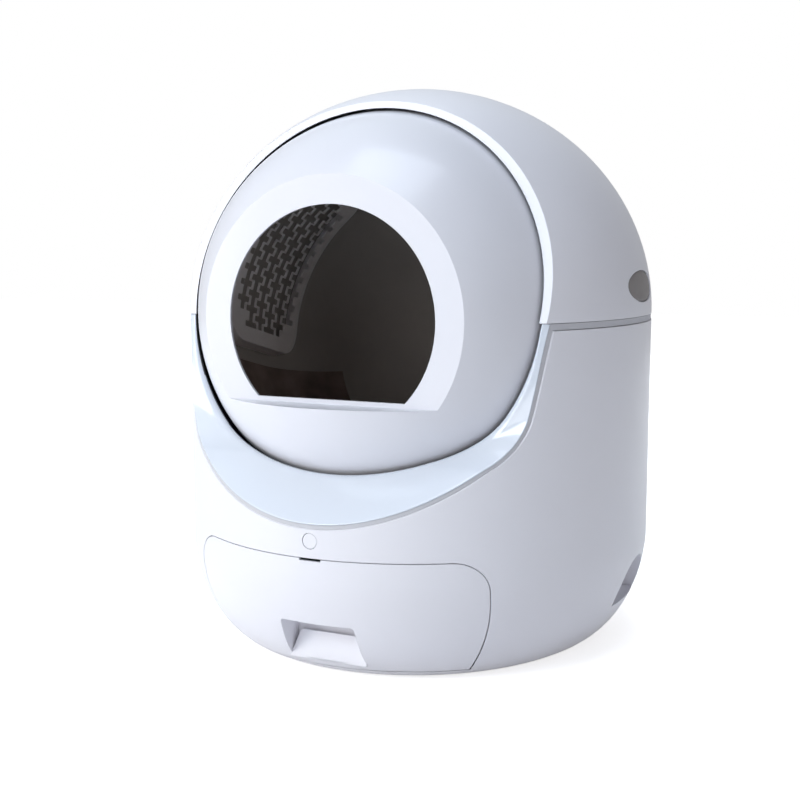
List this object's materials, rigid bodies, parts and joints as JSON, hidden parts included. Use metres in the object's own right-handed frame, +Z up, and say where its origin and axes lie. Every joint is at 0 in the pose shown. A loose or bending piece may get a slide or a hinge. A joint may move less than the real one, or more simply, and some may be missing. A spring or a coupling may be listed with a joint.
{
  "type": "self cleaning litter box",
  "caption": "Egg-shaped litter box with a tilted turning drum that sifts litter and drops waste into a drawer below, with a lift-off hood.",
  "frame": {"origin": "on the floor, under the centre of the oval cabinet", "axes": "+X to a viewer's right facing the front, -Y out of the entry, +Z up"},
  "size_m": [0.508, 0.546, 0.6],
  "materials": {
    "shell_white": "satin white moulding",
    "bezel_white": "glossy white with a cool cast",
    "drum_white": "satin white moulding",
    "bin_white": "matte white moulding",
    "trim_grey": "matte mid grey",
    "button_grey": "matte warm grey",
    "sieve_grey": "satin light grey",
    "liner_brown": "matte dark brown",
    "frame_grey": "matte grey structural plastic",
    "rubber_black": "matte black",
    "socket_black": "matte black",
    "gear_white": "natural low-friction plastic",
    "steel": "plain zinc-plated steel",
    "board_green": "coated circuit board"
  },
  "bodies": {
    "base": {"base_shell": "shell_white", "base_plate": "frame_grey", "inner_frame": "frame_grey", "mouth_bezel": "bezel_white", "seam_trim": "trim_grey", "foot_front_left": "rubber_black", "foot_front_right": "rubber_black", "foot_rear_left": "rubber_black", "foot_rear_right": "rubber_black", "hub_bearing": "gear_white", "hub_post": "frame_grey", "roller_axle_front_left": "steel", "roller_axle_front_right": "steel", "roller_axle_rear_left": "steel", "roller_axle_rear_right": "steel", "roller_bracket_front_left": "frame_grey", "roller_bracket_front_right": "frame_grey", "roller_bracket_rear_left": "frame_grey", "roller_bracket_rear_right": "frame_grey", "drive_motor": "steel", "motor_mount": "steel", "control_board": "board_green", "power_inlet": "socket_black", "button_spring": "steel", "button_switch": "board_green"},
    "hood": {"hood_shell": "shell_white"},
    "hood_button_left": {"hood_button_left": "button_grey"},
    "hood_button_right": {"hood_button_right": "button_grey"},
    "drum": {"drum_front": "drum_white", "drum_rear": "drum_white", "ring_gear": "gear_white", "sieve_screen": "sieve_grey", "litter_liner": "liner_brown"},
    "drive_pinion": {"drive_pinion": "gear_white"},
    "drawer": {"drawer_front": "shell_white", "drawer_bin": "bin_white"},
    "front_button": {"front_button": "shell_white"},
    "roller_front_left": {"support_roller_front_left": "rubber_black"},
    "roller_front_right": {"support_roller_front_right": "rubber_black"},
    "roller_rear_left": {"support_roller_rear_left": "rubber_black"},
    "roller_rear_right": {"support_roller_rear_right": "rubber_black"}
  },
  "joints": [
    {"name": "drum_turn", "type": "hinge", "parent": "base", "child": "drum", "pos_m": [0, -0.0678, 0.3586], "axis": [0, -0.972, 0.2351], "continuous": true},
    {"name": "pinion_turn", "type": "hinge", "parent": "base", "child": "drive_pinion", "pos_m": [0.18768, -0.07956, 0.19942], "axis": [0, -0.972, 0.2351], "continuous": true},
    {"name": "roller_front_left_turn", "type": "hinge", "parent": "base", "child": "roller_front_left", "pos_m": [-0.12204, -0.10887, 0.16759], "axis": [0, -0.972, 0.2351], "continuous": true},
    {"name": "roller_front_right_turn", "type": "hinge", "parent": "base", "child": "roller_front_right", "pos_m": [0.12204, -0.10887, 0.16759], "axis": [0, -0.972, 0.2351], "continuous": true},
    {"name": "roller_rear_left_turn", "type": "hinge", "parent": "base", "child": "roller_rear_left", "pos_m": [-0.12204, -0.06513, 0.15701], "axis": [0, -0.972, 0.2351], "continuous": true},
    {"name": "roller_rear_right_turn", "type": "hinge", "parent": "base", "child": "roller_rear_right", "pos_m": [0.12204, -0.06513, 0.15701], "axis": [0, -0.972, 0.2351], "continuous": true},
    {"name": "hood_lift", "type": "slide", "parent": "base", "child": "hood", "axis": [0, 0, 1], "range_m": [0, 0.25]},
    {"name": "hood_button_left_press", "type": "slide", "parent": "hood", "child": "hood_button_left", "axis": [1, 0, 0], "range_m": [0, 0.004], "stiffness_N_per_m": 500},
    {"name": "hood_button_right_press", "type": "slide", "parent": "hood", "child": "hood_button_right", "axis": [-1, 0, 0], "range_m": [0, 0.004], "stiffness_N_per_m": 500},
    {"name": "drawer_slide", "type": "slide", "parent": "base", "child": "drawer", "axis": [0, -1, 0], "range_m": [0, 0.28]},
    {"name": "front_button_press", "type": "slide", "parent": "base", "child": "front_button", "axis": [0, 1, 0], "range_m": [0, 0.0025], "stiffness_N_per_m": 400, "deforming": ["button_spring"]}
  ],
  "couplings": [
    {"joint": "pinion_turn", "follows": "drum_turn", "ratio": -8.8},
    {"joint": "roller_front_left_turn", "follows": "drum_turn", "ratio": -13.375},
    {"joint": "roller_front_right_turn", "follows": "drum_turn", "ratio": -13.375},
    {"joint": "roller_rear_left_turn", "follows": "drum_turn", "ratio": -13.375},
    {"joint": "roller_rear_right_turn", "follows": "drum_turn", "ratio": -13.375}
  ]
}
